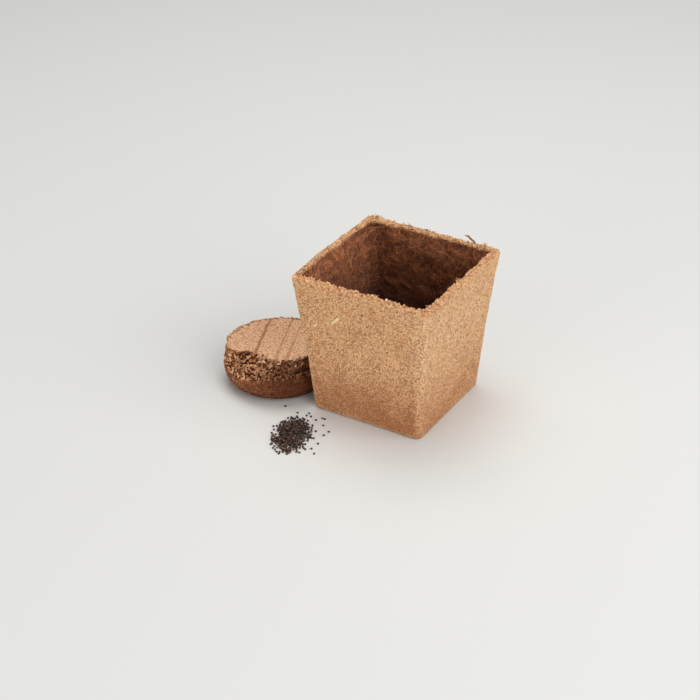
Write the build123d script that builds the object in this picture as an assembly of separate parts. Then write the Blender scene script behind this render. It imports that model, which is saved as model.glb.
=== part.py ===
from build123d import *
import math
import os
import random

# A growing set: a square pot of felted peat fibre, a pressed disc of soil and a heap of small seeds.
# Sizes are in millimetres and angles in degrees. The origin is the middle of the pot's base on the
# table, +Z is up, and the pot's four walls face X and Y.

# Pot
RIM_WIDTH = 80.0
BASE_WIDTH = 64.0
POT_HEIGHT = 80.0
WAIST = 0.55
WALL = 4.2
FLOOR = 4.0
RIM_CORNER_RADIUS = 3.5
BASE_CORNER_RADIUS = 3.0
INNER_RIM_CORNER_RADIUS = 3.0
INNER_BASE_CORNER_RADIUS = 5.0
BASE_EDGE_RADIUS = 1.0
FLOOR_EDGE_RADIUS = 4.0
RIM_ROUNDING = 1.0
DRAIN_DIAMETER = 8.0

# Swells of loose felt strewn over each of the pot's inner walls, clear of each other
SWELL_TRIES = 90
SWELL_RADII = (3.5, 6.5)
SWELL_SLOPE_RATIO = 0.2
SWELL_SPACING = 0.4
SWELL_START = 7

# Soil disc, which stands against the pot's -X wall
DISC_DIAMETER = 60.0
DISC_HEIGHT = 20.0
DISC_LOWER_ROUNDING = 10.0
DISC_UPPER_CHAMFER = 0.8
DISC_GAP = 0.7
DISC_OFFSET_Y = -15.3

# The disc's broken shoulder, sloping faces from the left round to the pot: the way each one faces, how
# far it reaches in over the top and how far it comes down the side
BREAK_SLOPES = (
    (-122.0, 19.3, 7.9),
    (-65.0, 15.5, 3.3),
    (-20.0, 12.5, 5.2),
)
BREAK_SINK = 0.8

# The crust left standing over the break: its depth, and its ragged front edge from the left round to
# the pot, as shares of the disc's radius from the disc's centre
CRUST_DEPTH = 6.0
CRUST_EDGE = (
    (-0.98, -0.17),
    (-0.89, -0.32),
    (-0.81, -0.49),
    (-0.67, -0.57),
    (-0.56, -0.57),
    (-0.45, -0.49),
    (-0.32, -0.45),
    (-0.22, -0.47),
    (-0.12, -0.43),
    (-0.02, -0.41),
    (0.10, -0.44),
    (0.30, -0.42),
    (0.38, -0.39),
    (0.46, -0.35),
    (0.52, -0.27),
    (0.55, -0.16),
    (0.65, -0.03),
    (0.72, 0.15),
    (0.88, 0.43),
)

# Clumps of soil that stand out of the break: their lengths, and as shares of those their widths, their
# thicknesses and the height of their middles over the slopes
CLUMPS = 120
CLUMP_LENGTHS = (2.0, 4.2)
CLUMP_WIDTH_RATIOS = (0.7, 1.0)
CLUMP_THICKNESS_RATIOS = (0.6, 0.9)
CLUMP_HEIGHT_RATIOS = (-0.075, 0.175)
CLUMP_START = 4

# Press lines on the disc's top: distances from the disc's centre, square to their common direction
PRESS_LINES = (-10.7, 1.3, 7.3)
PRESS_LINE_DIRECTION = -70.0
PRESS_LINE_WIDTH = 1.2
PRESS_LINE_DEPTH = 0.4

# Seeds
SEED_LENGTH = 1.0
SEED_WIDTH = 0.85
SEED_THICKNESS = 0.75
SEED_CLEARANCE = 0.03
SEED_TILT = 25.0

# Seed heap, on the table in front of the pot's -Y wall and the disc
HEAP_SEEDS = 540
HEAP_X = -27.0
HEAP_FROM_POT = 28.3
HEAP_FROM_DISC = 15.0
HEAP_DIRECTION = -70.0
HEAP_HALF_LENGTH = 17.5
HEAP_HALF_WIDTH = 10.5
HEAP_CROWDING_RATIO = 2.1
POURING_TRIES = 8
ROLLING_DISTANCE = 1.1
POURING_START = 5

# Stray seeds, from the heap's centre
STRAY_SEEDS = (
    (-18.0, 21.0),
    (-9.0, 19.0),
    (-3.5, 19.0),
    (-3.5, 21.5),
    (-1.0, 19.5),
    (3.0, 18.0),
    (5.0, 21.0),
    (6.5, 21.0),
    (9.0, 15.5),
    (8.5, 9.0),
    (14.5, 12.0),
    (14.0, 8.0),
    (11.0, 3.0),
    (15.5, 0.0),
    (12.5, -7.5),
    (15.0, -5.5),
    (18.5, -8.5),
    (11.5, -11.5),
    (3.0, -17.5),
    (-4.5, -12.5),
    (-13.0, 2.0),
    (-11.0, -0.5),
)

DISC_RADIUS = DISC_DIAMETER / 2
SEED_SPACING = SEED_LENGTH + SEED_CLEARANCE
GOLDEN_RATIO = (1 + math.sqrt(5)) / 2
EGG_REACH = math.hypot(1, 1 / GOLDEN_RATIO) / 2


def outer_width(height):
    """Outside width of the tapered pot at a height above the table, each wall drawn in by the waist."""
    share = height / POT_HEIGHT
    return BASE_WIDTH + (RIM_WIDTH - BASE_WIDTH) * share - 8 * WAIST * share * (1 - share)


def rounded_square(width, corner_radius, height):
    """A square section with rounded corners, level at a height."""
    return Plane.XY.offset(height) * RectangleRounded(width, width, corner_radius)


def tapered_block(bottom, inset, bottom_radius, top_radius):
    """A block with the pot's hollow taper from a bottom height to the rim, set in from the outside."""
    sections = []
    for share in (0, 0.5, 1):
        height = bottom + (POT_HEIGHT - bottom) * share
        corner_radius = bottom_radius + (top_radius - bottom_radius) * share
        sections.append(rounded_square(outer_width(height) - 2 * inset, corner_radius, height))
    return loft(sections)


def felt_swells(chance):
    """Balls that stand through the four inner walls, so that each leaves a low swell there."""
    balls = []
    for wall in range(4):
        lying = []
        for _ in range(SWELL_TRIES):
            radius = chance.uniform(*SWELL_RADII)
            z = chance.uniform(FLOOR + FLOOR_EDGE_RADIUS + radius, POT_HEIGHT - 2 * RIM_ROUNDING - radius)
            face = outer_width(z) / 2 - WALL
            spread = face - INNER_BASE_CORNER_RADIUS - radius
            along = chance.uniform(-spread, spread)
            if any(math.hypot(along - a, z - b) < radius + r + SWELL_SPACING for a, b, r in lying):
                continue
            lying.append((along, z, radius))
            height = SWELL_SLOPE_RATIO * radius
            ball_radius = (radius**2 + height**2) / (2 * height)
            place = Pos(face + ball_radius - height, along, z)
            balls.append(Rot(0, 0, 90 * wall) * place * Sphere(ball_radius))
    return balls


def make_pot():
    """The tapered shell: an outer block less an inner one, with swells, rounded edges and a drain hole."""
    outside = tapered_block(0, 0, BASE_CORNER_RADIUS, RIM_CORNER_RADIUS)
    outside = fillet(outside.faces().sort_by(Axis.Z)[0].edges(), BASE_EDGE_RADIUS)
    inside = tapered_block(FLOOR, WALL, INNER_BASE_CORNER_RADIUS, INNER_RIM_CORNER_RADIUS)
    inside = fillet(inside.faces().sort_by(Axis.Z)[0].edges(), FLOOR_EDGE_RADIUS)
    inside -= felt_swells(random.Random(SWELL_START))
    shell = outside - inside
    rim = shell.faces().sort_by(Axis.Z)[-1]
    shell = fillet(rim.edges(), min(RIM_ROUNDING, 0.45 * WALL))
    drain_hole = Cylinder(DRAIN_DIAMETER / 2, 4 * FLOOR)
    return shell - drain_hole


def faceted_egg(length, width, thickness):
    """Twenty facets in the shape of a flattened egg."""
    corners = []
    for a in (-1, 1):
        for b in (-1 / GOLDEN_RATIO, 1 / GOLDEN_RATIO):
            for x, y, z in ((a, b, 0), (0, a, b), (b, 0, a)):
                corners.append((x * length / 2, y * width / 2, z * thickness / 2))
    return ConvexPolyhedron(corners)


def disc_centre():
    """Where the disc stands: DISC_GAP clear of the leaning wall, below the break on the pot's side."""
    pot_side_drop = BREAK_SLOPES[-1][2]
    wall = max(BASE_WIDTH, outer_width(DISC_HEIGHT - pot_side_drop)) / 2
    return -wall - DISC_GAP - DISC_RADIUS, DISC_OFFSET_Y


def break_height(x, y):
    """Height of the broken slopes at a point measured from the disc's centre."""
    heights = []
    for direction, reach, drop in BREAK_SLOPES:
        turn = math.radians(direction)
        past_hinge = x * math.cos(turn) + y * math.sin(turn) - DISC_RADIUS + reach
        heights.append(DISC_HEIGHT - past_hinge * drop / reach)
    return min(heights) - BREAK_SINK


def make_drum():
    """The disc as it was pressed: a drum rounded in at the foot, with a worn upper edge."""
    drum = Cylinder(DISC_RADIUS, DISC_HEIGHT, align=(Align.CENTER, Align.CENTER, Align.MIN))
    drum = fillet(drum.edges().group_by(Axis.Z)[0], DISC_LOWER_ROUNDING)
    return chamfer(drum.edges().group_by(Axis.Z)[-1], DISC_UPPER_CHAMFER)


def make_crust(drum):
    """The upper layer of the drum behind the ragged edge of the break."""
    edge = [(x * DISC_RADIUS, y * DISC_RADIUS) for x, y in CRUST_EDGE]
    behind = [(DISC_DIAMETER, edge[-1][1]), (DISC_DIAMETER, DISC_DIAMETER)]
    behind += [(-DISC_DIAMETER, DISC_DIAMETER), (-DISC_DIAMETER, edge[0][1])]
    outline = make_face(Polyline(edge + behind, close=True))
    return drum & Pos(0, 0, DISC_HEIGHT - CRUST_DEPTH) * extrude(outline, 2 * CRUST_DEPTH)


def make_clumps(chance):
    """Rough clumps strewn over the slopes, none past the drum's side or above its top."""
    clumps = []
    while len(clumps) < CLUMPS:
        x = chance.uniform(-DISC_RADIUS, DISC_RADIUS)
        y = chance.uniform(-DISC_RADIUS, DISC_RADIUS)
        length = chance.uniform(*CLUMP_LENGTHS)
        z = break_height(x, y) + chance.uniform(*CLUMP_HEIGHT_RATIOS) * length
        turn = Rot(chance.uniform(0, 360), chance.uniform(0, 360), chance.uniform(0, 360))
        width = chance.uniform(*CLUMP_WIDTH_RATIOS) * length
        clump = faceted_egg(length, width, chance.uniform(*CLUMP_THICKNESS_RATIOS) * length)
        reach = EGG_REACH * length
        if math.hypot(x, y) + reach < DISC_RADIUS and z + reach < DISC_HEIGHT:
            clumps.append(Pos(x, y, z) * turn * clump)
    return clumps


def make_soil_disc():
    """The pressed disc: a drum with a crumbled shoulder under a ragged crust, and press lines."""
    drum = make_drum()
    crust = make_crust(drum)
    disc = drum
    for direction, reach, drop in BREAK_SLOPES:
        slope = math.degrees(math.atan2(drop, reach))
        above = Box(
            4 * DISC_DIAMETER,
            4 * DISC_DIAMETER,
            DISC_DIAMETER,
            align=(Align.CENTER, Align.CENTER, Align.MIN),
        )
        hinge = Rot(0, 0, direction) * Pos(DISC_RADIUS - reach, 0, DISC_HEIGHT - BREAK_SINK)
        disc -= hinge * Rot(0, slope, 0) * above
    disc = disc + crust + make_clumps(random.Random(CLUMP_START))
    for offset in PRESS_LINES:
        groove = Box(2 * DISC_DIAMETER, PRESS_LINE_WIDTH, 2 * PRESS_LINE_DEPTH)
        disc -= Rot(0, 0, PRESS_LINE_DIRECTION) * Pos(0, offset, DISC_HEIGHT) * groove
    x, y = disc_centre()
    return Pos(x, y, 0) * disc


def resting_height(x, y, lying):
    """Height of the middle of a seed dropped at x, y on the table or on the seeds lying there."""
    height = SEED_THICKNESS / 2
    for other_x, other_y, other_z in lying:
        apart = math.hypot(x - other_x, y - other_y)
        if apart < SEED_SPACING:
            height = max(height, other_z + math.sqrt(SEED_SPACING**2 - apart**2))
    return height


def heap_centre():
    """The middle of the heap, in front of both the pot and the disc."""
    pot_front = -BASE_WIDTH / 2
    disc_front = DISC_OFFSET_Y - DISC_RADIUS
    return HEAP_X, min(pot_front - HEAP_FROM_POT, disc_front - HEAP_FROM_DISC)


def pour_point(chance):
    """A point of an oval spread, thickest in the middle and cut off at the heap's edge."""
    while True:
        along = chance.gauss(0, 1)
        across = chance.gauss(0, 1)
        if math.hypot(along, across) < HEAP_CROWDING_RATIO:
            break
    along *= HEAP_HALF_LENGTH / HEAP_CROWDING_RATIO
    across *= HEAP_HALF_WIDTH / HEAP_CROWDING_RATIO
    turn = math.radians(HEAP_DIRECTION)
    centre_x, centre_y = heap_centre()
    x = centre_x + along * math.cos(turn) - across * math.sin(turn)
    y = centre_y + along * math.sin(turn) + across * math.cos(turn)
    return x, y


def pour_heap(chance):
    """Seeds poured one by one: each rolls to the lowest of a few places near where it fell."""
    lying = []
    for _ in range(HEAP_SEEDS):
        fall_x, fall_y = pour_point(chance)
        places = []
        for _ in range(POURING_TRIES):
            x = fall_x + chance.uniform(-ROLLING_DISTANCE, ROLLING_DISTANCE)
            y = fall_y + chance.uniform(-ROLLING_DISTANCE, ROLLING_DISTANCE)
            places.append((resting_height(x, y, lying), x, y))
        z, x, y = min(places)
        lying.append((x, y, z))
    return lying


def scatter_strays(lying):
    """The strays, on the table or on whatever seed already lies at their place."""
    centre_x, centre_y = heap_centre()
    strays = []
    for from_x, from_y in STRAY_SEEDS:
        x = centre_x + from_x
        y = centre_y + from_y
        strays.append((x, y, resting_height(x, y, lying + strays)))
    return strays


def lay_seeds(places, chance):
    """A seed at each place, turned any way about and tilted where it lies on other seeds."""
    seed = faceted_egg(SEED_LENGTH, SEED_WIDTH, SEED_THICKNESS)
    seeds = []
    for x, y, z in places:
        turn = Rot(0, 0, chance.uniform(0, 360))
        if z > SEED_THICKNESS:
            turn *= Rot(chance.uniform(-SEED_TILT, SEED_TILT), chance.uniform(-SEED_TILT, SEED_TILT), 0)
        seeds.append(Pos(x, y, z) * turn * seed)
    return Compound([solid for laid in seeds for solid in laid.solids()])


chance = random.Random(POURING_START)
heap_places = pour_heap(chance)
stray_places = scatter_strays(heap_places)

pieces = {
    "pot": make_pot(),
    "soil_disc": make_soil_disc(),
    "seed_heap": lay_seeds(heap_places, chance),
    "stray_seeds": lay_seeds(stray_places, chance),
}

os.makedirs("parts", exist_ok=True)
for name, piece in pieces.items():
    export_step(piece, f"parts/{name}.step")
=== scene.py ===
import math
import random

import bmesh
import bpy
from bpy.props import FloatProperty, FloatVectorProperty, IntProperty, PointerProperty
from mathutils import Euler, Matrix, Quaternion, Vector, noise
from mathutils.bvhtree import BVHTree


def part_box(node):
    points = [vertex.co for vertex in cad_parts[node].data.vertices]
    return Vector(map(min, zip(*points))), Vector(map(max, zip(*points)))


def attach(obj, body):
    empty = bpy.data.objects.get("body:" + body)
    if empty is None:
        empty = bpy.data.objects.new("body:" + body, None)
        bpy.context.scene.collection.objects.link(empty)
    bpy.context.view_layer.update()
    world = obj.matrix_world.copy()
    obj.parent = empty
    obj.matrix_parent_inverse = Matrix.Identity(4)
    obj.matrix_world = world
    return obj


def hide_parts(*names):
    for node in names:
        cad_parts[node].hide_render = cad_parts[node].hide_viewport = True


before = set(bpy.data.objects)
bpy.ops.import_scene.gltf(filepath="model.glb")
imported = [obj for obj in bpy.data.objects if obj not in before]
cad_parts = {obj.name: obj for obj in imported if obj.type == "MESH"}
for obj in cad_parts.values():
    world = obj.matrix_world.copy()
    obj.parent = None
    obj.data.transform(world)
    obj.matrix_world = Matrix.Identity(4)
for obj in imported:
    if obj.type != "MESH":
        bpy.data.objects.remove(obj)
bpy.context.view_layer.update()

bl_info = {
    "name": "Peat Pot Growing Set",
    "version": (1, 0, 0),
    "blender": (4, 5, 0),
    "location": "View3D > Sidebar > Peat Pot",
    "description": "A felted peat pot, a pressed soil disc and a heap of seeds, built on the packed model",
    "category": "Add Mesh",
}

# Everything is in metres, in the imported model's frame: origin at the middle of the pot's base, +Z up.
MM = 0.001
DISC_LOW, DISC_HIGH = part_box("soil_disc")
DISC_MIDDLE = (DISC_LOW + DISC_HIGH) / 2

# Loose tufts that stand up from the rim: x, y, number of strands and tone from 0 for dark to 1 for pale
RIM_TUFTS = (
    (-37.0, 38.5, 14, 0.35),
    (-33.8, 38.6, 12, 0.15),
    (-14.0, 38.0, 8, 0.1),
    (-3.5, 38.5, 8, 0.1),
    (29.5, 38.5, 14, 0.5),
    (33.0, 37.5, 10, 0.4),
    (37.0, -1.0, 12, 0.8),
    (8.0, -36.0, 10, 0.7),
    (36.0, -31.0, 8, 0.8),
)
# Torn flakes on the rim: x, y, length and tone
RIM_FLAKES = (
    (7.0, -36.0, 2.2, 0.8),
    (9.0, -36.3, 1.6, 0.7),
    (15.0, -36.2, 2.4, 0.9),
    (19.5, -36.4, 1.8, 0.7),
    (25.0, -36.6, 2.2, 0.9),
    (29.5, -36.3, 1.8, 0.8),
    (36.4, -31.0, 2.0, 0.9),
    (36.6, -1.0, 1.8, 0.8),
    (-36.6, -21.0, 3.0, 0.9),
    (-37.0, 38.6, 3.0, 0.3),
    (-34.2, 38.8, 2.4, 0.15),
    (-14.2, 38.6, 1.4, 0.1),
    (-3.8, 38.9, 1.4, 0.1),
    (29.5, 39.0, 2.2, 0.5),
    (33.0, 38.4, 2.0, 0.4),
    (2.2, -38.5, 1.8, 0.12),
    (17.5, -38.8, 2.0, 0.15),
    (20.0, -38.5, 1.6, 0.12),
    (26.1, -37.8, 2.0, 0.15),
    (36.6, -37.0, 1.6, 0.15),
)
# A dark curled fibre that sticks out over the back rim: points along it
DARK_CURL = (
    (25.2, 38.5, 79.4),
    (23.4, 39.2, 80.5),
    (21.2, 40.1, 80.7),
    (19.4, 40.8, 81.6),
    (17.0, 41.3, 81.3),
)
# Straw chips pressed into the front wall: x and z of both ends, and width
STRAW_CHIPS = (
    (-16.2, 58.4, -11.7, 63.1, 1.5),
    (-27.3, 53.0, -25.0, 55.9, 1.1),
)
# Dark chips pressed into the front wall: x and z of both ends, and width
BARK_CHIPS = (
    (-14.6, 42.9, -13.6, 42.0, 0.8),
    (-11.4, 43.5, -10.8, 42.6, 0.7),
    (1.6, 69.0, 2.6, 68.2, 0.8),
)
# Press lines on the disc's top: offset from the disc's centre, width and strength
PRESS_LINES = (
    (-10.7, 1.3, 1.0),
    (1.3, 1.0, 0.55),
    (7.3, 1.0, 0.5),
)
PRESS_TURN = math.radians(-70)
# How strands run: shortest and longest, steps, bend at each step, and lowest and highest lift
OUTER_RUN = ((1.5 * MM, 4.5 * MM), 4, 0.5, (-0.06 * MM, 0.07 * MM))
INNER_RUN = ((4 * MM, 14 * MM), 9, 0.4, (-0.08 * MM, 0.4 * MM))
RIM_RUN = ((1.0 * MM, 2.8 * MM), 5, 0.5, (-0.08 * MM, 0.35 * MM))
TUFT_STEPS = 4
# Start numbers of the seeded chance
FIBRE_CHANCE = 21
TUFT_CHANCE = 22
FLAKE_CHANCE = 23
CLUMP_CHANCE = 31
CRUMB_CHANCE = 32
# Vertices nearer than this are joined
JOIN_DISTANCE = 1e-7
# Cloudy noise lies mostly between these values, and a speck's edge is this soft on either side
CLOUD_LOW = 0.36
CLOUD_HIGH = 0.64
SPECK_SOFTNESS = 0.05
# Softboxes: name, place, width, height and power in watts. They face a point just above the floor.
SOFTBOXES = (
    ("top_softbox", (-0.25, 0.25, 1.15), 0.9, 0.9, 7.7),
    ("right_softbox", (1.1, -0.15, 0.75), 1.5, 1.2, 15.0),
    ("front_softbox", (-0.3, -1.2, 0.22), 1.0, 0.3, 5.8),
)
SOFTBOX_AIM = Vector((0, 0, 0.03))
AMBIENT_COLOUR = (1.0, 0.99, 0.97, 1.0)
AMBIENT_STRENGTH = 0.28
FLOOR_HALF_WIDTH = 6.0
SENSOR_WIDTH = 36


def length(name, description, default):
    """A size property in metres."""
    return FloatProperty(name=name, description=description, default=default, subtype="DISTANCE", precision=5)


def angle(name, description, default):
    """An angle property, given in degrees."""
    return FloatProperty(name=name, description=description, default=math.radians(default), subtype="ANGLE")


def count(name, description, default):
    """A whole number property."""
    return IntProperty(name=name, description=description, default=default, min=0)


def colour(name, description, default):
    """A colour property, in linear red, green and blue."""
    return FloatVectorProperty(
        name=name, description=description, default=default, subtype="COLOR", size=3, min=0, max=1
    )


class PotSettings(bpy.types.PropertyGroup):
    """Sizes and colours of the felted pot."""

    rim_width: length("Rim width", "Outside width at the rim", 80 * MM)
    base_width: length("Base width", "Outside width at the table", 64 * MM)
    height: length("Height", "Height of the rim", 80 * MM)
    waist: length("Waist", "How far each wall draws in between base and rim", 0.55 * MM)
    bow: length("Bow", "How far the wall beside the disc bows out at the rim", 1.0 * MM)
    wall: length("Wall", "Thickness of the felted wall", 4.2 * MM)
    floor: length("Floor", "Thickness of the floor", 4 * MM)
    rim_corner: length("Rim corner", "Outer corner radius at the rim", 3.5 * MM)
    base_corner: length("Base corner", "Outer corner radius at the base", 3 * MM)
    skin: length("Skin", "Size of the cells of the pot's skin", 0.78 * MM)
    felt_depth: length("Felt depth", "Unevenness of the pressed outside", 0.26 * MM)
    inner_depth: length("Inner depth", "Unevenness of the rough inside", 0.7 * MM)
    undercut: length("Undercut", "How far the inside draws back under the rim", 0.5 * MM)
    rim_fray: length("Rim fray", "Unevenness of the rim", 0.55 * MM)
    rim_lip: length("Rim lip", "Height of the torn lip along the rim's inner edge", 0.8 * MM)
    tan: colour("Tan", "Pressed fibre", (0.88, 0.51, 0.24))
    rust: colour("Rust", "Redder fibre", (0.52, 0.21, 0.08))
    shade: colour("Shade", "Dark specks between the fibres", (0.33, 0.10, 0.032))
    # Colour of the darker foot: partly the felt's own colour, and on the front wall painted shade.
    stain_and_shade: colour("Stain", "The damp foot", (0.37, 0.13, 0.045))
    inside: colour("Inside", "Loose fibre on the inner walls", (0.42, 0.135, 0.048))
    inner_shade: colour("Inner shade", "Hollows between the inner fibres", (0.085, 0.026, 0.011))


class FibreSettings(bpy.types.PropertyGroup):
    """How many loose fibres the pot shows, how thick they are and their colours."""

    outer_count: count("Outer fibres", "Fibres on the outside", 4200)
    inner_count: count("Inner fibres", "Curled fibres on the inside", 2400)
    rim_count: count("Rim fibres", "Frayed fibres along the rim", 900)
    flake_count: count("Rim flakes", "Small torn flakes on the rim", 620)
    outer_thickness: length("Outer thickness", "Thickness of an outer fibre", 0.28 * MM)
    inner_thickness: length("Inner thickness", "Thickness of an inner fibre", 0.42 * MM)
    rim_thickness: length("Rim thickness", "Thickness of a rim fibre", 0.32 * MM)
    curl_thickness: length("Curl thickness", "Thickness of the dark curled fibre", 1.5 * MM)
    pale: colour("Pale fibre", "The lightest fibres outside", (0.93, 0.65, 0.37))
    dark: colour("Dark fibre", "The darkest fibres", (0.16, 0.055, 0.022))
    inner_pale: colour("Inner pale fibre", "The lightest fibres inside", (0.64, 0.28, 0.13))
    straw: colour("Straw", "The straw chips", (0.93, 0.70, 0.42))


class DiscSettings(bpy.types.PropertyGroup):
    """Sizes and colours of the pressed soil disc."""

    radius: length("Radius", "Radius of the disc", 30 * MM)
    height: length("Height", "Height of the disc", 20 * MM)
    foot: length("Foot", "Rounding of the foot", 10 * MM)
    skin: length("Skin", "Size of the cells of the disc's skin", 0.38 * MM)
    grain: length("Grain", "Unevenness of the pressed faces", 0.13 * MM)
    crumble: length("Crumble", "Unevenness of the broken shoulder", 0.85 * MM)
    groove: length("Groove", "How far the fainter press lines are filled", 0.35 * MM)
    clumps: count("Clumps", "Small lumps on the broken shoulder", 350)
    edge_crumbs: count("Edge crumbs", "Crumbs along the top's edge", 220)
    crumbs: count("Crumbs", "Loose crumbs on the break", 500)
    top: colour("Top", "The pressed top", (0.76, 0.43, 0.25))
    streak: colour("Streak", "Redder streaks on the top", (0.48, 0.20, 0.105))
    side: colour("Side", "The dark side", (0.35, 0.125, 0.056))
    broken: colour("Broken", "The broken shoulder", (0.37, 0.125, 0.048))
    crumb: colour("Crumb", "The lightest crumbs", (0.92, 0.50, 0.27))
    pale: colour("Pale grain", "The lightest grain of the top", (0.90, 0.58, 0.36))
    dark: colour("Dark", "The darkest crumbs and hollows", (0.075, 0.021, 0.008))


class SeedSettings(bpy.types.PropertyGroup):
    """Finish of the seeds."""

    dent: length("Dent", "Depth of the dents in a seed", 0.03 * MM)
    coat: colour("Coat", "The seeds' dark coat", (0.042, 0.025, 0.019))
    bloom: colour("Bloom", "The paler bloom on some seeds", (0.27, 0.17, 0.13))


class StageSettings(bpy.types.PropertyGroup):
    """The floor, the lights and the camera."""

    floor_colour: colour("Floor", "The pale floor", (0.726, 0.725, 0.706))
    azimuth: angle("Azimuth", "Camera's turn about the pot", 31.5435)
    elevation: angle("Elevation", "Camera's height", 31.274)
    roll: angle("Roll", "Camera's tilt", -0.7076)
    distance: length("Distance", "Camera's distance", 929.49 * MM)
    aim_height: length("Aim height", "Height of the point that the camera turns about", 35 * MM)
    aim_right: length("Aim right", "How far that point stands right of the frame's middle", 24.4 * MM)
    aim_up: length("Aim up", "How far that point stands above the frame's middle", 5.97 * MM)
    lens: FloatProperty(name="Lens", description="Focal length in millimetres", default=91.69, min=1)


def ease(low, high, value):
    """0 below low, 1 above high, and an even change between them."""
    share = min(1.0, max(0.0, (value - low) / (high - low)))
    return share * share * (3 - 2 * share)


def hump(middle, half_width, value):
    """1 at the middle, falling evenly to 0 half a width away."""
    return 1 - ease(0, half_width, abs(value - middle))


def blend(first, second, share):
    """A value between two others."""
    return first + (second - first) * share


def add_node(tree, kind, inputs=None, **properties):
    """A shader node with its properties set and its inputs linked or given values."""
    node = tree.nodes.new("ShaderNode" + kind)
    for name, value in properties.items():
        setattr(node, name, value)
    for key, value in (inputs or {}).items():
        if isinstance(value, bpy.types.NodeSocket):
            tree.links.new(value, node.inputs[key])
        else:
            node.inputs[key].default_value = value
    return node


def cloudy(tree, place, scale, detail=2.0, roughness=0.5, distortion=0.0):
    """Cloudy noise, about 0 to 1."""
    node = add_node(
        tree,
        "TexNoise",
        {"Vector": place, "Scale": scale, "Detail": detail, "Roughness": roughness, "Distortion": distortion},
    )
    return node.outputs["Fac"]


def stretched(tree, place, turn, scale):
    """Coordinates turned and stretched, so that noise on them runs in streaks."""
    turned = add_node(tree, "Mapping", {"Vector": place, "Rotation": turn})
    return add_node(tree, "Mapping", {"Vector": turned.outputs["Vector"], "Scale": scale}).outputs["Vector"]


def math_value(tree, operation, first, second):
    """One arithmetic step on two values."""
    return add_node(tree, "Math", {0: first, 1: second}, operation=operation).outputs["Value"]


def product(tree, first, second):
    """Two values multiplied."""
    return math_value(tree, "MULTIPLY", first, second)


def larger(tree, first, second):
    """The larger of two values."""
    return math_value(tree, "MAXIMUM", first, second)


def ramp(tree, value, low, high, to_low=0.0, to_high=1.0):
    """A value's range spread smoothly over another."""
    node = add_node(
        tree,
        "MapRange",
        {"Value": value, "From Min": low, "From Max": high, "To Min": to_low, "To Max": to_high},
        interpolation_type="SMOOTHSTEP",
    )
    return node.outputs["Result"]


def mixed(tree, share, first, second):
    """A colour between two others, each a socket or a plain colour."""
    node = tree.nodes.new("ShaderNodeMix")
    node.data_type = "RGBA"
    for index, value in ((0, share), (6, first), (7, second)):
        if isinstance(value, bpy.types.NodeSocket):
            tree.links.new(value, node.inputs[index])
        elif index == 0:
            node.inputs[index].default_value = value
        else:
            node.inputs[index].default_value = (*value, 1.0)
    return node.outputs[2]


def tinted(tree, value, span, first, second):
    """A colour that turns into another as a value goes over a span, as ramp takes it."""
    return mixed(tree, ramp(tree, value, *span), first, second)


def speckled(tree, base, place, scale, cover, strength, speck):
    """A colour with specks of another over about the given share of it."""
    cloud = cloudy(tree, place, scale, roughness=0.6)
    edge = blend(CLOUD_LOW, CLOUD_HIGH, cover)
    return tinted(tree, cloud, (edge - SPECK_SOFTNESS, edge + SPECK_SOFTNESS, strength, 0.0), base, speck)


def fibre_streaks(tree, place, scale, stretch):
    """Short straight streaks that cross each other, 0 to about 1."""
    streaks = []
    for turn in ((0.4, 0.3, 0.6), (-0.5, 0.9, 2.2), (1.1, -0.6, 1.3)):
        along = stretched(tree, place, turn, (scale / stretch, scale, scale))
        streaks.append(cloudy(tree, along, 1.0, detail=1.0))
    crossing = larger(tree, larger(tree, streaks[0], streaks[1]), streaks[2])
    return ramp(tree, crossing, 0.5, 0.8)


def carried(tree, name):
    """A value that the mesh carries."""
    return add_node(tree, "Attribute", attribute_name=name).outputs["Fac"]


def new_material(name, roughness, specular, sheen=0.0):
    """A material with its shader's plain values set, its tree, its Object coordinates and its shader."""
    material = bpy.data.materials.new(name)
    material.use_nodes = True
    tree = material.node_tree
    shader = tree.nodes["Principled BSDF"]
    shader.inputs["Roughness"].default_value = roughness
    shader.inputs["Specular IOR Level"].default_value = specular
    shader.inputs["Sheen Weight"].default_value = sheen
    shader.inputs["Sheen Roughness"].default_value = 0.6
    place = tree.nodes.new("ShaderNodeTexCoord").outputs["Object"]
    return material, tree, place, shader


def finish_material(tree, shader, colour_socket, height, depth):
    """Colour and bump joined to the shader."""
    bump = add_node(tree, "Bump", {"Height": height, "Distance": depth})
    tree.links.new(colour_socket, shader.inputs["Base Color"])
    tree.links.new(bump.outputs["Normal"], shader.inputs["Normal"])


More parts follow.
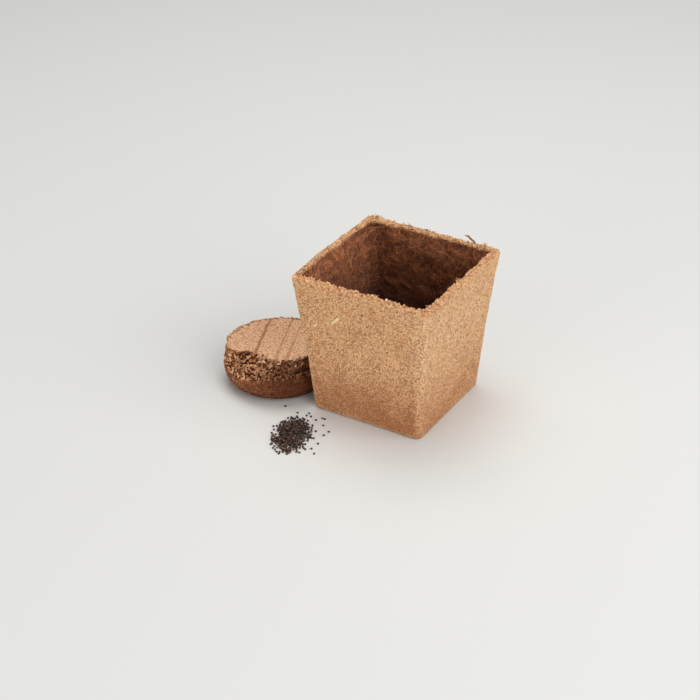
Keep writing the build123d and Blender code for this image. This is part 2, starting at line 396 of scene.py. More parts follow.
def felted_peat(pot, fibre):
    """Pressed peat fibre: speckled tan felt, redder at the base, paler on the rim, dark and curly inside,
    with painted sheen on the right wall, and painted shade in the inner hollows, deep inside, on the inner
    back wall and at the front wall's foot.
    """
    material, tree, place, shader = new_material("felted_peat", 0.95, 0.1, sheen=0.06)
    parts = add_node(tree, "SeparateXYZ", {0: place}).outputs
    streaks = fibre_streaks(tree, place, 1500.0, 5.0)
    drawn = cloudy(tree, stretched(tree, place, (0.0, 0.0, 0.0), (420.0, 420.0, 70.0)), 1.0)
    grain = cloudy(tree, place, 1300.0, detail=3.0, roughness=0.65)
    blotch = cloudy(tree, place, 80.0, detail=4.0)
    raised = carried(tree, "raised")
    rim = carried(tree, "rim")

    felt = tinted(tree, blotch, (0.42, 0.7, 0.0, 0.45), pot.tan, pot.rust)
    felt = tinted(tree, drawn, (0.35, 0.6, 0.3, 0.0), felt, pot.rust)
    # Painted sheen: the right wall is mixed paler, more so higher up.
    right_wall = ramp(tree, parts["X"], 26 * MM, 34 * MM)
    right_wall_sheen = product(tree, right_wall, ramp(tree, parts["Z"], 10 * MM, 60 * MM))
    felt = mixed(tree, product(tree, right_wall_sheen, 0.6), felt, fibre.pale)
    # Darker, redder foot: partly the felt's own colour, made stronger on the front wall as painted shade.
    foot = ramp(tree, parts["Z"], 4 * MM, 46 * MM, 1.0, 0.0)
    front_wall_shade = ramp(tree, parts["Y"], -34 * MM, -26 * MM, 1.0, 0.55)
    patchy = product(tree, front_wall_shade, ramp(tree, blotch, 0.25, 0.6, 0.7, 1.0))
    stain_and_shade = product(tree, foot, patchy)
    felt = mixed(tree, stain_and_shade, felt, pot.stain_and_shade)
    # Paler on the rim and on raised bumps.
    paler_rim_and_bumps = larger(tree, product(tree, rim, 0.3), ramp(tree, raised, 0.8, 1.0, 0.0, 0.35))
    felt = mixed(tree, paler_rim_and_bumps, felt, fibre.pale)

    outside = tinted(tree, grain, (0.38, 0.5, 1.0, 0.0), felt, pot.shade)
    lighter = larger(tree, streaks, ramp(tree, grain, 0.5, 0.63))
    lighter = product(tree, lighter, ramp(tree, stain_and_shade, 0.0, 1.0, 0.75, 0.3))
    outside = mixed(tree, lighter, outside, fibre.pale)
    frayed = ramp(tree, cloudy(tree, place, 360.0, detail=3.0), 0.4, 0.52, 0.75, 0.0)
    outside = mixed(tree, product(tree, frayed, rim), outside, pot.rust)
    outside = mixed(tree, fibre_streaks(tree, place, 1400.0, 4.0), outside, pot.shade)
    outside = speckled(tree, outside, place, 900.0, -0.05, 0.9, pot.shade)

    lumps = cloudy(tree, place, 260.0, detail=4.0, roughness=0.65, distortion=0.8)
    # Painted shade in the inner hollows: where the fibre lies low, the inside turns to the inner shade,
    # broken up by lumps.
    lumps_and_hollow_shade = product(tree, raised, ramp(tree, lumps, 0.3, 0.6, 0.6, 1.2))
    curls = fibre_streaks(tree, place, 700.0, 9.0)
    inner = tinted(tree, lumps_and_hollow_shade, (0.05, 0.65, 0.45, 1.0), pot.inner_shade, pot.inside)
    inner = mixed(tree, product(tree, curls, 0.5), inner, fibre.inner_pale)
    inner = speckled(tree, inner, place, 900.0, 0.25, 0.6, pot.inner_shade)
    # Painted shade: the inside darkens deeper down and on the inner back wall.
    deep = ramp(tree, parts["Z"], 34 * MM, 80 * MM, 0.85, 0.0)
    back_wall_shade = ramp(tree, parts["Y"], 12 * MM, 34 * MM, 0.0, 0.45)
    inner = mixed(tree, larger(tree, deep, back_wall_shade), inner, pot.inner_shade)

    shade = mixed(tree, carried(tree, "inside"), outside, inner)
    relief = math_value(tree, "ADD", grain, product(tree, streaks, 0.7))
    finish_material(tree, shader, shade, relief, 0.5 * MM)
    return material


def loose_fibre(name, dark, middle, pale):
    """Single fibres, each with its own tone from dark to pale."""
    material, tree, place, shader = new_material(name, 0.85, 0.15, sheen=0.1)
    tone = carried(tree, "tone")
    grain = cloudy(tree, place, 2200.0)
    shade = tinted(tree, tone, (0.0, 0.45), dark, middle)
    shade = tinted(tree, tone, (0.5, 1.0), shade, pale)
    shade = tinted(tree, grain, (0.3, 0.7, 0.3, 0.0), shade, dark)
    finish_material(tree, shader, shade, grain, 0.1 * MM)
    return material


def pressed_soil(disc):
    """Pressed soil: a pinkish top with press lines, a dark banded side and a crumbly break, with painted
    shade in the break's low places and towards the pot, and painted light on the top near the pot and on
    crumbs that look up.
    """
    material, tree, place, shader = new_material("pressed_soil", 0.95, 0.1)
    along_lines = stretched(tree, place, (0.0, 0.0, -PRESS_TURN), (60.0, 420.0, 420.0))
    streak = cloudy(tree, along_lines, 1.0, detail=3.0)
    grain = cloudy(tree, place, 900.0, detail=4.0, roughness=0.7)
    across = add_node(tree, "SeparateXYZ", {0: place}).outputs["X"]
    # Painted light: the top is mixed paler towards the pot, where the pot's shadow falls.
    top = tinted(tree, across, (-80 * MM, -45 * MM, 0.0, 0.8), disc.top, disc.pale)
    top = tinted(tree, streak, (0.3, 0.55, 0.25, 0.0), top, disc.streak)
    top = tinted(tree, grain, (0.36, 0.5, 0.8, 0.0), top, disc.side)
    top = tinted(tree, grain, (0.48, 0.6, 0.0, 1.0), top, disc.pale)
    top = speckled(tree, top, place, 620.0, 0.0, 0.75, disc.side)
    top = mixed(tree, product(tree, carried(tree, "groove"), 0.75), top, disc.side)

    bands = cloudy(tree, stretched(tree, place, (0.0, 0.0, 0.0), (80.0, 80.0, 700.0)), 1.0, detail=3.0)
    side = tinted(tree, bands, (0.38, 0.56, 0.95, 0.0), disc.side, disc.dark)
    side = tinted(tree, grain, (0.5, 0.62, 0.0, 0.9), side, disc.streak)
    side = tinted(tree, grain, (0.38, 0.5, 1.0, 0.0), side, disc.dark)

    raised = carried(tree, "raised")
    crumb = carried(tree, "crumb")
    # The crumb share is each crumb's tone with painted light on faces that look up; low places turn dark as
    # painted shade, and raised crumbs get a painted highlight.
    broken = mixed(tree, product(tree, crumb, 0.7), disc.broken, disc.crumb)
    broken = tinted(tree, raised, (0.28, 0.62), disc.dark, broken)
    painted_top_light = product(tree, ramp(tree, raised, 0.5, 0.85, 0.0, 1.3), crumb)
    broken = mixed(tree, painted_top_light, broken, disc.crumb)
    broken = speckled(tree, broken, place, 1000.0, 0.2, 0.6, disc.dark)

    shade = mixed(tree, carried(tree, "broken"), side, broken)
    # Painted shadow of the pot: the side and the break darken towards it.
    pot_shadow = ramp(tree, across, -78 * MM, -42 * MM, 0.0, 0.85)
    shade = mixed(tree, pot_shadow, shade, disc.dark)
    shade = mixed(tree, carried(tree, "top"), shade, top)
    relief = math_value(tree, "ADD", grain, product(tree, bands, 0.6))
    finish_material(tree, shader, shade, relief, 0.5 * MM)
    return material


def soil_crumb(disc):
    """Loose crumbs, each with its own tone."""
    material, tree, place, shader = new_material("soil_crumb", 0.95, 0.1)
    grain = cloudy(tree, place, 1100.0, detail=4.0, roughness=0.7)
    shade = mixed(tree, carried(tree, "tone"), disc.dark, disc.crumb)
    shade = tinted(tree, grain, (0.35, 0.65, 0.5, 0.0), shade, disc.broken)
    finish_material(tree, shader, shade, grain, 0.4 * MM)
    return material


def seed_coat(seed):
    """A nearly black, faintly pitted coat with a paler bloom here and there."""
    material, tree, place, shader = new_material("seed_coat", 0.6, 0.15)
    bloom = cloudy(tree, place, 800.0)
    pits = add_node(tree, "TexVoronoi", {"Vector": place, "Scale": 6000.0}, feature="F1").outputs["Distance"]
    shade = tinted(tree, bloom, (0.45, 0.75), seed.coat, seed.bloom)
    finish_material(tree, shader, shade, pits, 0.05 * MM)
    return material


def pale_floor(stage):
    """A plain pale floor with the faintest unevenness."""
    material, tree, place, shader = new_material("pale_floor", 0.85, 0.1)
    darker = tuple(0.98 * part for part in stage.floor_colour)
    shade = mixed(tree, cloudy(tree, place, 3.0), stage.floor_colour, darker)
    tree.links.new(shade, shader.inputs["Base Color"])
    return material


def add_piece(name, mesh, material, body, nodes=(), smooth=True):
    """A finished mesh as a piece of the object, riding on a body."""
    mesh.materials.clear()
    mesh.materials.append(material)
    piece = bpy.data.objects.new(name, mesh)
    bpy.context.scene.collection.objects.link(piece)
    for polygon in mesh.polygons:
        polygon.use_smooth = smooth
    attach(piece, body)
    if nodes:
        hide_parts(*nodes)


def evaluated_mesh(name, data, finish=None):
    """The mesh that a curve or a rough mesh gives, with a modifier's finish on it."""
    carrier = bpy.data.objects.new(name + "_carrier", data)
    bpy.context.scene.collection.objects.link(carrier)
    if finish:
        finish(carrier)
    depsgraph = bpy.context.evaluated_depsgraph_get()
    mesh = bpy.data.meshes.new_from_object(carrier.evaluated_get(depsgraph))
    bpy.data.objects.remove(carrier)
    mesh.name = name
    return mesh


def finished_mesh(bm, name):
    """A mesh made from a bmesh, which is freed."""
    mesh = bpy.data.meshes.new(name)
    bm.to_mesh(mesh)
    bm.free()
    return mesh


def opened_mesh(mesh):
    """A bmesh made from a mesh, which is removed."""
    bm = bmesh.new()
    bm.from_mesh(mesh)
    bpy.data.meshes.remove(mesh)
    return bm


def smooth_out(bm, rounds):
    """Every vertex drawn half way to its neighbours, a number of times."""
    for _ in range(rounds):
        bmesh.ops.smooth_vert(
            bm, verts=bm.verts, factor=0.5, use_axis_x=True, use_axis_y=True, use_axis_z=True
        )


def skinned(rough, name, cell, smoothing):
    """One even skin of small cells round everything in a rough form, smoothed a little."""

    def add_skin(carrier):
        skin = carrier.modifiers.new("skin", "REMESH")
        skin.mode = "VOXEL"
        skin.voxel_size = cell

    rough_mesh = finished_mesh(rough, name + "_rough")
    mesh = evaluated_mesh(name, rough_mesh, add_skin)
    bpy.data.meshes.remove(rough_mesh)
    bm = opened_mesh(mesh)
    smooth_out(bm, smoothing)
    bm.normal_update()
    return bm


def packed_form(node):
    """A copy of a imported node's mesh with its loose triangles joined."""
    bm = bmesh.new()
    bm.from_mesh(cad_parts[node].data)
    bmesh.ops.remove_doubles(bm, verts=bm.verts, dist=JOIN_DISTANCE)
    return bm


def move_verts(bm, moves):
    """Every vertex moved by its own step, but not below the table."""
    for vert, move in zip(bm.verts, moves):
        vert.co += move
        vert.co.z = max(vert.co.z, 0)
    bm.normal_update()


def mark_raised(bm, rounds, height):
    """How far each vertex stands out of its smoothed surroundings, 0 in hollows and 1 on bumps."""
    even = bm.copy()
    smooth_out(even, rounds)
    layer = bm.verts.layers.float.new("raised")
    for vert, level in zip(bm.verts, even.verts):
        vert[layer] = ease(-height, height, (vert.co - level.co).dot(vert.normal))
    even.free()


def outer_half(pot, height):
    """Half the pot's outside width at a height, drawn in a little at the waist."""
    share = height / pot.height
    return blend(pot.base_width, pot.rim_width, share) / 2 - 4 * pot.waist * share * (1 - share)


def wall_depth(pot, place):
    """How deep a point lies under the pot's outer face, measured level."""
    radius = blend(pot.base_corner, pot.rim_corner, place.z / pot.height)
    core = outer_half(pot, place.z) - radius
    past_x = abs(place.x) - core
    past_y = abs(place.y) - core
    return radius - math.hypot(max(past_x, 0), max(past_y, 0)) - min(max(past_x, past_y), 0)


def felt_lift(pot, place, inside):
    """How far the fibre stands out of the smooth form at a point."""
    slow = noise.noise(place * 45)
    medium = noise.noise(place * 190 + Vector((3, 1, 7)))
    fine = noise.noise(place * 640 + Vector((9, 4, 2)))
    pressed = pot.felt_depth * (0.9 * slow + 0.6 * medium + 0.8 * fine - 0.35)
    swirl = noise.noise(place * 80 + Vector((5, 8, 1)))
    ridge = 0.5 - 2 * abs(noise.noise(place * 150 + Vector((2, 6, 4))))
    tuft = noise.noise(place * 430 + Vector((7, 3, 5)))
    loose = pot.inner_depth * (0.6 * swirl + 0.7 * ridge + 0.7 * tuft)
    loose -= pot.undercut * hump(pot.height - 3.5 * MM, 4 * MM, place.z)
    return blend(pressed, loose, inside)


def rim_lift(pot, place, depth):
    """How far the frayed rim stands up or sinks at a point, with its torn inner lip."""
    on_rim = ease(pot.height - 2.6 * MM, pot.height - 0.6 * MM, place.z)
    wave = noise.noise(place * 60 + Vector((1, 2, 3))) + 0.8 * noise.noise(place * 420 + Vector((4, 1, 6)))
    torn = 0.25 + noise.noise(place * 190 + Vector((6, 2, 8))) + 0.7 * noise.noise(place * 700)
    lip = hump(0.86 * pot.wall, 0.3 * pot.wall, depth) * torn * pot.rim_lip
    crease = hump(0.5 * pot.wall, 0.25 * pot.wall, depth) * max(0, noise.noise(place * 130)) * pot.rim_lip
    return on_rim * (pot.rim_fray * wave + lip - crease)


def wall_bow(pot, place):
    """How far the wall beside the disc bows out at a point."""
    on_wall = 1 - ease(-0.45 * pot.rim_width, -0.36 * pot.rim_width, place.x)
    across = max(0, 1 - (2 * place.y / pot.rim_width) ** 2)
    return pot.bow * on_wall * across * ease(0.5 * pot.height, pot.height, place.z)


def sculpt_pot(pot, bm):
    """The felted unevenness, and the shares of inside and rim that the material reads."""
    inside_layer = bm.verts.layers.float.new("inside")
    rim_layer = bm.verts.layers.float.new("rim")
    moves = []
    for vert in bm.verts:
        place = vert.co.copy()
        depth = wall_depth(pot, place)
        ragged = place.z + 0.7 * MM * noise.noise(place * 240)
        under_rim = 1 - ease(pot.height - 1.6 * MM, pot.height - 1.0 * MM, ragged)
        deep = ease(0.55 * pot.wall, 0.85 * pot.wall, depth)
        inside = deep * under_rim * ease(0.4 * pot.floor, 0.8 * pot.floor, place.z)
        vert[inside_layer] = inside
        vert[rim_layer] = ease(pot.height - 1.8 * MM, pot.height - 0.5 * MM, ragged)
        lift = felt_lift(pot, place, inside) * ease(0, 1.5 * MM, place.z)
        moves.append(vert.normal * lift + Vector((-wall_bow(pot, place), 0, rim_lift(pot, place, depth))))
    move_verts(bm, moves)


def felt_faces(pot, bm):
    """Middles and normals of the skin's faces, sorted into outside, inside and rim."""
    inside_layer = bm.verts.layers.float["inside"]
    outer, inner, rim = [], [], []
    for face in bm.faces:
        middle = face.calc_center_median()
        inside = face.verts[0][inside_layer]
        if middle.z > pot.height - 1.0 * MM and face.normal.z > 0.5:
            rim.append((middle, face.normal.copy()))
        elif inside > 0.9 and middle.z > pot.floor + 2 * MM:
            inner.append((middle, face.normal.copy()))
        elif inside < 0.1 and middle.z > 1.5 * MM:
            outer.append((middle, face.normal.copy()))
    return outer, inner, rim


def run_strand(surface, place, normal, chance, size, steps, bend, lift):
    """Points of a strand that runs over a surface, bending as it goes and lifting off towards its ends."""
    heading = normal.orthogonal().normalized()
    heading.rotate(Quaternion(normal, chance.uniform(0, 2 * math.pi)))
    curl = chance.uniform(-bend, bend)
    low, high = lift
    start_lift = chance.uniform(low, high)
    end_lift = chance.uniform(low, high)
    points = []
    for index in range(steps + 1):
        share = index / steps
        middle = 1 - abs(2 * share - 1)
        points.append(place + normal * blend(blend(start_lift, end_lift, share), low, middle))
        heading.rotate(Quaternion(normal, curl + chance.uniform(-0.5, 0.5) * bend))
        heading = (heading - normal * heading.dot(normal)).normalized()
        place, normal, _, _ = surface.find_nearest(place + heading * size / steps)
    return points


def strewn_strands(surface, faces, number, chance, sizes, steps, bend, lift):
    """Strands that start on random faces of a surface."""
    strands = []
    for _ in range(number):
        middle, normal = chance.choice(faces)
        strands.append(run_strand(surface, middle, normal, chance, chance.uniform(*sizes), steps, bend, lift))
    return strands


def tuft_strand(foot, chance):
    """Points of one strand of a tuft, which leans away from its foot and sags at its tip."""
    lean = Vector((chance.uniform(-1, 1), chance.uniform(-1, 1), chance.uniform(0.1, 0.9))).normalized()
    size = chance.uniform(0.8, 2.6) * MM
    start = foot + Vector((chance.gauss(0, 1.1), chance.gauss(0, 0.8), 0)) * MM
    points = []
    for step in range(TUFT_STEPS + 1):
        share = step / TUFT_STEPS
        wander = Vector((chance.uniform(-1, 1), chance.uniform(-1, 1), 0)) * 0.2 * MM
        points.append(start + lean * size * share - Vector((0, 0, 0.35 * size * share * share)) + wander)
    return points


def islands(bm):
    """The vertices of each separate shape in a mesh."""
    seen = set()
    for first in bm.verts:
        if first in seen:
            continue
        seen.add(first)
        found = [first]
        for vert in found:
            for edge in vert.link_edges:
                other = edge.other_vert(vert)
                if other not in seen:
                    seen.add(other)
                    found.append(other)
        yield found


def strand_mesh(name, strands, thickness, tone_of):
    """Strands as thin tapered tubes in one mesh, each with the tone that its place is given."""
    curve = bpy.data.curves.new(name, "CURVE")
    curve.dimensions = "3D"
    curve.bevel_depth = thickness / 2
    curve.bevel_resolution = 0
    curve.use_fill_caps = True
    for points in strands:
        spline = curve.splines.new("POLY")
        spline.points.add(len(points) - 1)
        for index, (point, place) in enumerate(zip(spline.points, points)):
            point.co = (*place, 1)
            from_middle = abs(2 * index / (len(points) - 1) - 1)
            point.radius = 1 - 0.7 * from_middle**3
    mesh = evaluated_mesh(name, curve)
    bpy.data.curves.remove(curve)
    bm = opened_mesh(mesh)
    bmesh.ops.remove_doubles(bm, verts=bm.verts, dist=JOIN_DISTANCE)
    layer = bm.verts.layers.float.new("tone")
    for strand in islands(bm):
        tone = tone_of(strand[0].co)
        for vert in strand:
            vert[layer] = tone
    return finished_mesh(bm, name)


def add_lump(bm, place, size, chance, roughness):
    """A rough lump of the given half sizes, turned any way; its vertices are returned."""
    made = bmesh.ops.create_icosphere(bm, subdivisions=1, radius=1.0)
    offset = Vector([chance.uniform(-50, 50) for _ in range(3)])
    turn = Euler([chance.uniform(-3, 3) for _ in range(3)]).to_quaternion()
    for vert in made["verts"]:
        shape = vert.co * (1 + roughness * noise.noise(vert.co * 1.2 + offset))
        vert.co = place + turn @ (shape * size)
    return made["verts"]


class PEATPOT_OT_pot(bpy.types.Operator):
    """Make the felted pot with its fibres, flakes and chips"""

    bl_idname = "peatpot.pot"
    bl_label = "Felted Pot"

    def execute(self, context):
        pot = context.scene.peat_pot
        fibre = context.scene.peat_fibre
        bm = skinned(packed_form("pot"), "pot_shell", pot.skin, smoothing=2)
        sculpt_pot(pot, bm)
        mark_raised(bm, rounds=40, height=0.5 * MM)
        surface = BVHTree.FromBMesh(bm)
        outer, inner, rim = felt_faces(pot, bm)
        mesh = finished_mesh(bm, "pot_shell")
        add_piece("pot_shell", mesh, felted_peat(pot, fibre), "pot", ["pot"])
        self.add_fibres(pot, fibre, surface, outer, inner, rim)
        self.add_tufts(pot, fibre, surface)
        self.add_flakes(pot, fibre, surface)
        self.add_chips(pot, fibre, surface)
        return {"FINISHED"}

    def add_fibres(self, pot, fibre, surface, outer, inner, rim):
        """The fibres on the outside, on the inside and along the rim."""
        chance = random.Random(FIBRE_CHANCE)

        def outer_tone(place):
            clean = ease(0.05 * pot.height, 0.5 * pot.height, place.z)
            return chance.uniform(0.3, 1) * blend(0.4, 1, clean)

        def inner_tone(place):
            # Painted shade: inner fibres darken deeper in the pot.
            return chance.random() * blend(0.2, 1, ease(0.4 * pot.height, pot.height, place.z))

        shades = {
            "outer": (pot.shade, pot.tan, fibre.pale),
            "inner": (pot.inner_shade, pot.inside, fibre.inner_pale),
            "rim": (pot.rust, pot.tan, fibre.pale),
        }
        for side, faces, number, run, thickness, tone_of in (
            ("outer", outer, fibre.outer_count, OUTER_RUN, fibre.outer_thickness, outer_tone),
            ("inner", inner, fibre.inner_count, INNER_RUN, fibre.inner_thickness, inner_tone),
            ("rim", rim, fibre.rim_count, RIM_RUN, fibre.rim_thickness, lambda place: chance.random()),
        ):
            name = side + "_fibres"
            strands = strewn_strands(surface, faces, number, chance, *run)
            mesh = strand_mesh(name, strands, thickness, tone_of)
            material = loose_fibre(side + "_fibre", *shades[side])
            add_piece(name, mesh, material, "pot")

    def add_tufts(self, pot, fibre, surface):
        """The tufts on the rim and the dark curled fibre."""
        chance = random.Random(TUFT_CHANCE)
        material = loose_fibre("tuft_fibre", fibre.dark, pot.tan, fibre.pale)
        strands = []
        tones = []
        for x, y, number, tone in RIM_TUFTS:
            foot = surface.find_nearest(Vector((x, y, 0)) * MM + Vector((0, 0, pot.height)))[0]
            for _ in range(number):
                strands.append(tuft_strand(foot, chance))
            tones.append((foot, tone))

        def tuft_tone(place):
            nearest = min(tones, key=lambda known: (known[0] - place).length)
            return min(1, max(0, nearest[1] + chance.uniform(-0.3, 0.3)))

        mesh = strand_mesh("rim_tufts", strands, fibre.rim_thickness, tuft_tone)
        add_piece("rim_tufts", mesh, material, "pot")
        curl = [Vector(point) * MM for point in DARK_CURL]
        mesh = strand_mesh("dark_curl", [curl], fibre.curl_thickness, lambda place: 0.12)
        add_piece("dark_curl", mesh, material, "pot")

    def add_flakes(self, pot, fibre, surface):
        """The torn flakes on the rim, most of them along its inner edge."""
        chance = random.Random(FLAKE_CHANCE)
        bm = bmesh.new()
        layer = bm.verts.layers.float.new("tone")
        flakes = list(RIM_FLAKES)
        outer = pot.rim_width / 2 / MM
        for _ in range(fibre.flake_count):
            across = outer - pot.wall / MM * chance.choice((0.85, 0.85, chance.uniform(0.15, 0.95)))
            along = chance.uniform(-across, across)
            x, y = chance.choice(((along, -across), (across, along), (along, across), (-across, along)))
            flakes.append((x, y, chance.uniform(0.6, 2.0), chance.uniform(0.15, 1.0)))
        for x, y, size, tone in flakes:
            foot = surface.find_nearest(Vector((x * MM, y * MM, pot.height + 1 * MM)))[0]
            half = Vector((size / 2, size * chance.uniform(0.25, 0.4), chance.uniform(0.18, 0.3))) * MM
            for vert in add_lump(bm, foot + Vector((0, 0, 0.15 * MM)), half, chance, roughness=0.6):
                vert[layer] = tone
        mesh = finished_mesh(bm, "rim_flakes")
        material = loose_fibre("rim_flake", fibre.dark, pot.tan, fibre.pale)
        add_piece("rim_flakes", mesh, material, "pot", smooth=False)

    def add_chips(self, pot, fibre, surface):
        """The straw and bark chips in the front wall."""
        for name, chips, tone in (("straw_chips", STRAW_CHIPS, 1.0), ("bark_chips", BARK_CHIPS, 0.0)):
            material = loose_fibre(name, fibre.dark, pot.tan, fibre.straw)
            bm = bmesh.new()
            layer = bm.verts.layers.float.new("tone")
            for first_x, first_z, last_x, last_z, width in chips:
                ends = []
                for x, z in ((first_x, first_z), (last_x, last_z)):
                    ends.append(surface.find_nearest(Vector((x * MM, -outer_half(pot, z * MM), z * MM))))
                along = ends[1][0] - ends[0][0]
                middle = (ends[0][0] + ends[1][0]) / 2
                out = (ends[0][1] + ends[1][1]).normalized()
                across = out.cross(along.normalized())
                turn = Matrix((along.normalized(), across, out)).transposed()
                made = bmesh.ops.create_icosphere(bm, subdivisions=2, radius=1.0)
                for vert in made["verts"]:
                    blunt = Vector([math.copysign(abs(part) ** 0.6, part) for part in vert.co])
                    size = Vector((along.length / 2, width * MM / 2, 0.28 * width * MM))
                    vert.co = middle + turn @ (blunt * size)
                    vert[layer] = tone
            add_piece(name, finished_mesh(bm, name), material, "pot")


def drum_depth(disc, place):
    """How deep a point measured from the disc's centre lies under the side of the unbroken drum."""
    drawn_in = disc.foot - min(disc.foot, max(0, place.z))
    radius = disc.radius - disc.foot + math.sqrt(disc.foot**2 - drawn_in**2)
    return radius - math.hypot(place.x, place.y)


def break_places(disc, surface, number, chance):
    """Places on the broken shoulder and their normals, found by slanting rays from the outside."""
    found = []
    while len(found) < number:
        turn = chance.uniform(-math.pi, math.pi)
        outward = Vector((math.cos(turn), math.sin(turn), 0))
        target = outward * disc.radius * math.sqrt(chance.random()) + Vector((0, 0, 0.8 * disc.height))
        ray = -outward - Vector((0, 0, chance.uniform(0.4, 3.0)))
        place, normal, _, _ = surface.ray_cast(target - ray.normalized() * 4 * disc.radius, ray)
        if place and place.z < disc.height - 0.6 * MM and drum_depth(disc, place) > 0.7 * MM:
            found.append((place, normal))
    return found


def add_clumps(disc, bm):
    """Small lumps bedded all over the broken shoulder."""
    chance = random.Random(CLUMP_CHANCE)
    surface = BVHTree.FromBMesh(bm)
    for place, normal in break_places(disc, surface, disc.clumps, chance):
        size = chance.uniform(0.35, 1.0) * MM
        half = Vector((size, size * chance.uniform(0.6, 1), size * chance.uniform(0.5, 0.9)))
        add_lump(bm, place + normal * 0.2 * size, half, chance, roughness=0.6)


def press_mark(place):
    """How deep a point of the disc's top lies in a press line, 0 to 1."""
    aside = Vector((-math.sin(PRESS_TURN), math.cos(PRESS_TURN), 0))
    along = Vector((math.cos(PRESS_TURN), math.sin(PRESS_TURN), 0))
    spread = 1 + ease(2 * MM, 15 * MM, place.dot(along))
    offset = place.dot(aside) + 0.3 * MM * noise.noise(place * 200)
    marks = []
    for line, width, strength in PRESS_LINES:
        marks.append(strength * hump(line * MM, width * MM * spread, offset))
    return max(marks)


def crumbled(place, scales):
    """How far a crumbled face stands out at a point, -1 in cracks to about 1, and the tone of its crumb."""
    lift = 0.0
    tone = 0.0
    for scale, share in scales:
        gaps, seats = noise.voronoi(place * scale)
        level = noise.cell(seats[0] * 9.7)
        lift += share * (0.5 * level + ease(0, 0.3, gaps[1] - gaps[0]) - 0.8)
        tone += share * (0.5 + 0.5 * level)
    return lift, ease(0.25, 0.95, tone)


def sculpt_disc(disc, bm):
    """The disc's grain, bands and press lines, and the shares of its faces that the material reads."""
    top_layer = bm.verts.layers.float.new("top")
    broken_layer = bm.verts.layers.float.new("broken")
    groove_layer = bm.verts.layers.float.new("groove")
    crumb_tone_and_light_layer = bm.verts.layers.float.new("crumb")
    moves = []
    for vert in bm.verts:
        place = vert.co.copy()
        top = ease(disc.height - 1.1 * MM, disc.height - 0.6 * MM, place.z)
        top *= ease(0.45, 0.8, vert.normal.z)
        depth = drum_depth(disc, place)
        edge = ease(0, 0.5, noise.noise(place * 500) + 1 - depth / (2.6 * MM))
        top *= 1 - 0.8 * edge
        uneven = 2 * noise.noise(place * 130) + noise.noise(place * 420)
        inward = ease(0.2 * MM, 0.9 * MM, depth + 0.4 * MM * uneven)
        inward *= ease(0.15 * disc.height, 0.35 * disc.height, place.z + 2.2 * MM * uneven)
        upper = ease(0.4 * disc.height, 0.8 * disc.height, place.z + 2.2 * MM * uneven)
        broken = (1 - top) * max(inward, 0.7 * upper)
        mark = top * press_mark(place)
        chunks, tone = crumbled(place, ((320, 0.7), (820, 0.5)))
        granular = 1 - ease(-0.5 * disc.radius, 0.3 * disc.radius, place.x)
        grain = 0.8 * noise.noise(place * 260) + 0.9 * noise.noise(place * 900) - 0.3
        bands = noise.noise(Vector((place.x * 60, place.y * 60, place.z * 700)))
        side = disc.grain * (blend(bands, 2.5 * chunks, granular) + grain - 0.6)
        lift = blend(blend(side, disc.grain * grain, top), disc.crumble * chunks, broken)
        lift *= ease(0, 1.0 * MM, place.z)
        vert[top_layer] = top
        vert[broken_layer] = broken
        vert[groove_layer] = mark
        # A crumb's tone, darker lower down, with painted light on faces that look up.
        higher = blend(0.4, 1, ease(0.3 * disc.height, 0.8 * disc.height, place.z))
        vert[crumb_tone_and_light_layer] = tone * higher * ease(-0.4, 0.7, vert.normal.z)
        filling = 0.0
        if place.z < disc.height - 0.1 * MM:
            filling = disc.groove * top * ease(0, 1, 0.8 - mark)
        moves.append(vert.normal * lift + Vector((0, 0, filling)))
    move_verts(bm, moves)


class PEATPOT_OT_soil_disc(bpy.types.Operator):
    """Make the pressed soil disc with its crumbled shoulder"""

    bl_idname = "peatpot.soil_disc"
    bl_label = "Soil Disc"

    def execute(self, context):
        disc = context.scene.peat_disc
        centre = Vector((DISC_MIDDLE.x, DISC_MIDDLE.y, 0))
        rough = packed_form("soil_disc")
        bmesh.ops.translate(rough, verts=rough.verts, vec=-centre)
        add_clumps(disc, rough)
        bm = skinned(rough, "soil_disc_body", disc.skin, smoothing=0)
        sculpt_disc(disc, bm)
        mark_raised(bm, rounds=14, height=0.3 * MM)
        crumbs = self.strew_crumbs(disc, bm)
        for item in (bm, crumbs):
            bmesh.ops.translate(item, verts=item.verts, vec=centre)
        mesh = finished_mesh(bm, "soil_disc_body")
        add_piece("soil_disc_body", mesh, pressed_soil(disc), "soil_disc", ["soil_disc"])
        mesh = finished_mesh(crumbs, "soil_crumbs")
        add_piece("soil_crumbs", mesh, soil_crumb(disc), "soil_disc", smooth=False)
        return {"FINISHED"}

    def strew_crumbs(self, disc, bm):
        """Loose crumbs on the break and along the top's edge."""
        chance = random.Random(CRUMB_CHANCE)
        surface = BVHTree.FromBMesh(bm)
        crumbs = bmesh.new()
        layer = crumbs.verts.layers.float.new("tone")
        places = break_places(disc, surface, disc.crumbs, chance)
        for _ in range(disc.edge_crumbs):
            turn = chance.uniform(-math.pi, math.pi)
            edge = Vector((math.cos(turn), math.sin(turn), 0)) * (disc.radius - chance.uniform(0, 1) * MM)
            edge.z = disc.height - chance.uniform(0, 2) * MM
            place, normal, _, _ = surface.find_nearest(edge)
            places.append((place, normal))
        for place, normal in places:
            size = chance.uniform(0.2, 0.65) * MM
            half = Vector((size, size * chance.uniform(0.5, 1), size * chance.uniform(0.5, 1)))
            # Painted shadow of the pot: loose crumbs darken towards it.
            away = ease(-0.2 * disc.radius, 0.6 * disc.radius, place.x)
            tone = chance.random() * blend(1, 0.35, away)
            for vert in add_lump(crumbs, place + normal * 0.2 * size, half, chance, roughness=0.7):
                vert[layer] = tone
        return crumbs


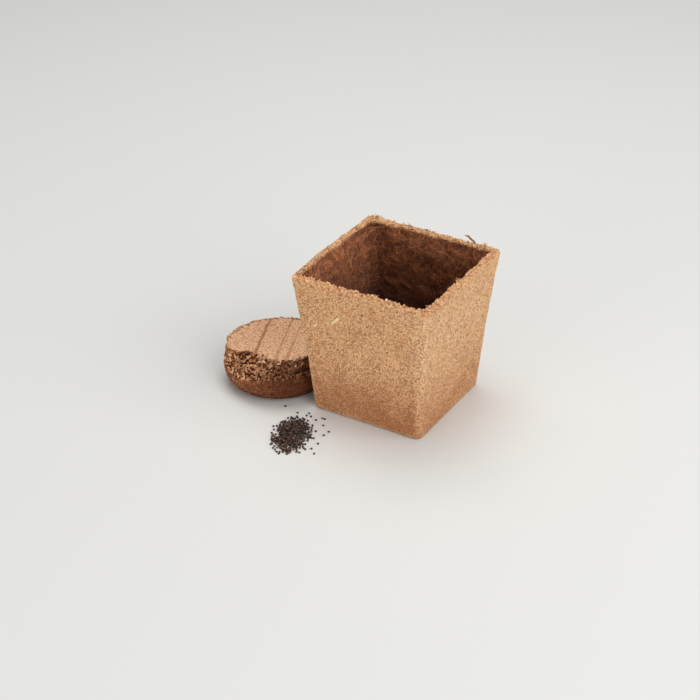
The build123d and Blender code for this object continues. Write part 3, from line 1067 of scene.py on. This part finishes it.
class PEATPOT_OT_seeds(bpy.types.Operator):
    """Round off the seeds of the heap and the strays"""

    bl_idname = "peatpot.seeds"
    bl_label = "Seeds"

    def execute(self, context):
        seed = context.scene.peat_seed
        material = seed_coat(seed)
        for node, name in (("seed_heap", "heaped_seeds"), ("stray_seeds", "scattered_seeds")):
            bm = packed_form(node)
            bmesh.ops.subdivide_edges(bm, edges=bm.edges, cuts=1, smooth=1.0, use_grid_fill=True)
            bm.normal_update()
            for vert in bm.verts:
                vert.co += vert.normal * seed.dent * noise.noise(vert.co * 1400)
                vert.co.z = max(vert.co.z, 0)
            add_piece(name, finished_mesh(bm, name), material, "pot", [node])
        return {"FINISHED"}


class PEATPOT_OT_stage(bpy.types.Operator):
    """Set up the floor, the lights and the camera"""

    bl_idname = "peatpot.stage"
    bl_label = "Stage"

    def execute(self, context):
        scene = context.scene
        scene.view_settings.view_transform = "Standard"
        self.lay_floor(scene)
        self.hang_lights(scene)
        self.place_camera(scene)
        return {"FINISHED"}

    def lay_floor(self, scene):
        """The pale floor under the set."""
        bm = bmesh.new()
        bmesh.ops.create_grid(bm, x_segments=8, y_segments=8, size=FLOOR_HALF_WIDTH)
        mesh = finished_mesh(bm, "floor")
        mesh.materials.append(pale_floor(scene.peat_stage))
        floor = bpy.data.objects.new("floor", mesh)
        scene.collection.objects.link(floor)

    def hang_lights(self, scene):
        """The light from all sides and the softboxes."""
        world = bpy.data.worlds.new("studio")
        world.use_nodes = True
        background = world.node_tree.nodes["Background"].inputs
        background["Color"].default_value = AMBIENT_COLOUR
        background["Strength"].default_value = AMBIENT_STRENGTH
        scene.world = world
        for name, place, wide, tall, power in SOFTBOXES:
            light = bpy.data.lights.new(name, "AREA")
            light.shape = "RECTANGLE"
            light.size = wide
            light.size_y = tall
            light.energy = power
            lamp = bpy.data.objects.new(name, light)
            lamp.location = place
            lamp.rotation_euler = (SOFTBOX_AIM - Vector(place)).to_track_quat("-Z", "Y").to_euler()
            scene.collection.objects.link(lamp)

    def place_camera(self, scene):
        """The camera, turned about a point above the pot's base."""
        stage = scene.peat_stage
        level = math.cos(stage.elevation)
        back = Vector(
            (math.sin(stage.azimuth) * level, -math.cos(stage.azimuth) * level, math.sin(stage.elevation))
        )
        turn = (-back).to_track_quat("-Z", "Y") @ Quaternion((0, 0, 1), stage.roll)
        aside = turn @ Vector((-stage.aim_right, -stage.aim_up, 0))
        lens = bpy.data.cameras.new("camera")
        lens.lens = stage.lens
        lens.sensor_width = SENSOR_WIDTH
        camera = bpy.data.objects.new("camera", lens)
        camera.location = Vector((0, 0, stage.aim_height)) + back * stage.distance + aside
        camera.rotation_euler = turn.to_euler()
        scene.collection.objects.link(camera)
        scene.camera = camera


class PEATPOT_PT_panel(bpy.types.Panel):
    """The growing set's tools and settings"""

    bl_idname = "PEATPOT_PT_panel"
    bl_label = "Peat Pot"
    bl_space_type = "VIEW_3D"
    bl_region_type = "UI"
    bl_category = "Peat Pot"

    def draw(self, context):
        for title, settings, operators in PANEL_ROWS:
            box = self.layout.box()
            box.label(text=title)
            group = getattr(context.scene, settings)
            for name in group.__annotations__:
                box.prop(group, name)
            for operator in operators:
                box.operator(operator.bl_idname)


PANEL_ROWS = (
    ("Pot", "peat_pot", (PEATPOT_OT_pot,)),
    ("Fibres", "peat_fibre", ()),
    ("Soil disc", "peat_disc", (PEATPOT_OT_soil_disc,)),
    ("Seeds", "peat_seed", (PEATPOT_OT_seeds,)),
    ("Stage", "peat_stage", (PEATPOT_OT_stage,)),
)

SETTINGS = {
    "peat_pot": PotSettings,
    "peat_fibre": FibreSettings,
    "peat_disc": DiscSettings,
    "peat_seed": SeedSettings,
    "peat_stage": StageSettings,
}

CLASSES = (
    *SETTINGS.values(),
    PEATPOT_OT_pot,
    PEATPOT_OT_soil_disc,
    PEATPOT_OT_seeds,
    PEATPOT_OT_stage,
    PEATPOT_PT_panel,
)


def register():
    for item in CLASSES:
        bpy.utils.register_class(item)
    for name, settings in SETTINGS.items():
        setattr(bpy.types.Scene, name, PointerProperty(type=settings))


def unregister():
    for name in SETTINGS:
        delattr(bpy.types.Scene, name)
    for item in reversed(CLASSES):
        bpy.utils.unregister_class(item)


def main():
    register()
    bpy.ops.peatpot.stage()
    bpy.ops.peatpot.pot()
    bpy.ops.peatpot.soil_disc()
    bpy.ops.peatpot.seeds()


if __name__ == "__main__":
    main()
